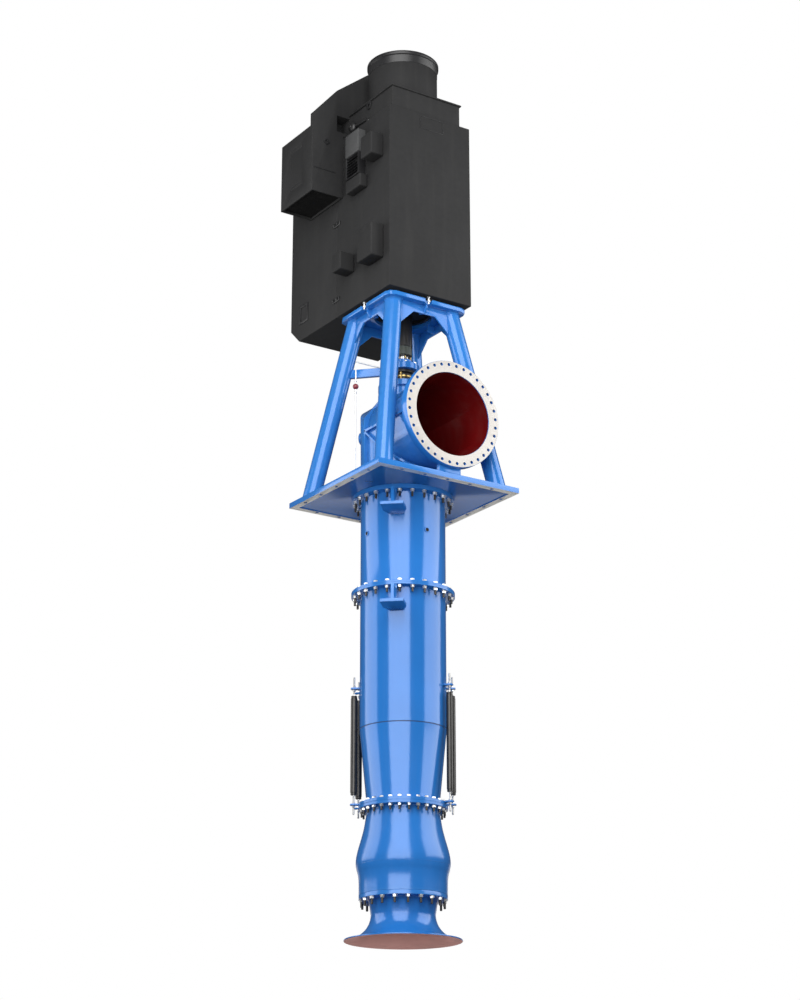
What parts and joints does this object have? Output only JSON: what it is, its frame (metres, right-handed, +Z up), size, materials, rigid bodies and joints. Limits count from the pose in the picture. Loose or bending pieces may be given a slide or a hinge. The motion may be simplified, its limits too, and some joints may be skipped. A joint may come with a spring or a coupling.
{
  "type": "vertical circulating water pump",
  "caption": "Vertical circulating water pump: suction bell, bowl and column under a square base plate, mitred discharge head, leaning tube stand and tall motor.",
  "frame": {"origin": "On the machined seat under the base plate, at the middle of the discharge side.", "axes": "+Z up along the shaft; -Y is the way the water leaves the discharge flange; +X is to the right seen from the discharge flange."},
  "size_m": [2.103, 2.833, 11.44],
  "materials": {
    "suction_bell": "glossy blue paint over cast iron",
    "bowl_casing": "glossy blue paint over cast iron",
    "bowl_diffuser": "blue paint over cast iron vanes",
    "impeller": "bare cast stainless steel",
    "line_shaft": "bright turned steel",
    "shaft_coupling": "blackened steel",
    "lower_column": "glossy blue paint over rolled steel",
    "upper_column": "glossy blue paint over rolled steel",
    "column_lug_upper_front": "glossy blue paint",
    "column_lug_upper_rear": "glossy blue paint",
    "column_lug_lower_front": "glossy blue paint",
    "column_lug_lower_rear": "glossy blue paint",
    "tie_rod_1": "satin black coating",
    "tie_rod_2": "satin black coating",
    "tie_rod_3": "satin black coating",
    "tie_rod_4": "satin black coating",
    "base_plate": "glossy blue paint with a bare machined seat",
    "discharge_head": "glossy blue paint outside and red lining inside",
    "discharge_flange": "machined pale flange face",
    "discharge_support": "glossy blue paint",
    "stuffing_box": "dark grey casting",
    "bearing_housing": "glossy blue paint",
    "stand_leg_front_left": "glossy blue paint over steel tube",
    "stand_leg_front_right": "glossy blue paint over steel tube",
    "stand_leg_rear_left": "glossy blue paint over steel tube",
    "stand_leg_rear_right": "glossy blue paint over steel tube",
    "stand_top_plate": "glossy blue paint",
    "stand_webs": "glossy blue paint",
    "bearing_arm": "glossy blue paint",
    "seal_pipe": "bare steel pipe",
    "motor_flange": "black paint",
    "motor_frame": "dark grey paint",
    "motor_cooler": "dark grey paint",
    "motor_top_housing": "dark grey paint",
    "motor_roof": "dark grey paint",
    "air_hood": "dark grey paint",
    "thrust_housing": "dark grey paint",
    "thrust_cover": "dark grey paint",
    "terminal_box_upper": "dark grey paint",
    "terminal_box_lower": "dark grey paint",
    "heater_box": "dark grey paint",
    "sensor_box": "light grey paint",
    "cable_box": "dark grey paint"
  },
  "bodies": {
    "frame": {"suction_bell": "suction_bell", "bowl_casing": "bowl_casing", "bowl_diffuser": "bowl_diffuser", "lower_column": "lower_column", "upper_column": "upper_column", "column_lug_upper_front": "column_lug_upper_front", "column_lug_upper_rear": "column_lug_upper_rear", "column_lug_lower_front": "column_lug_lower_front", "column_lug_lower_rear": "column_lug_lower_rear", "tie_rod_1": "tie_rod_1", "tie_rod_2": "tie_rod_2", "tie_rod_3": "tie_rod_3", "tie_rod_4": "tie_rod_4", "base_plate": "base_plate", "discharge_head": "discharge_head", "discharge_flange": "discharge_flange", "discharge_support": "discharge_support", "stuffing_box": "stuffing_box", "bearing_housing": "bearing_housing", "stand_leg_front_left": "stand_leg_front_left", "stand_leg_front_right": "stand_leg_front_right", "stand_leg_rear_left": "stand_leg_rear_left", "stand_leg_rear_right": "stand_leg_rear_right", "stand_top_plate": "stand_top_plate", "stand_webs": "stand_webs", "bearing_arm": "bearing_arm", "seal_pipe": "seal_pipe", "motor_flange": "motor_flange", "motor_frame": "motor_frame", "motor_cooler": "motor_cooler", "motor_top_housing": "motor_top_housing", "motor_roof": "motor_roof", "air_hood": "air_hood", "thrust_housing": "thrust_housing", "thrust_cover": "thrust_cover", "terminal_box_upper": "terminal_box_upper", "terminal_box_lower": "terminal_box_lower", "heater_box": "heater_box", "sensor_box": "sensor_box", "cable_box": "cable_box"},
    "rotor": {"line_shaft": "line_shaft", "shaft_coupling": "shaft_coupling", "impeller": "impeller"}
  },
  "joints": [
    {"name": "shaft_spin", "type": "hinge", "parent": "frame", "child": "rotor", "pos_m": [0, 0.975, 0], "axis": [0, 0, 1], "continuous": true}
  ]
}
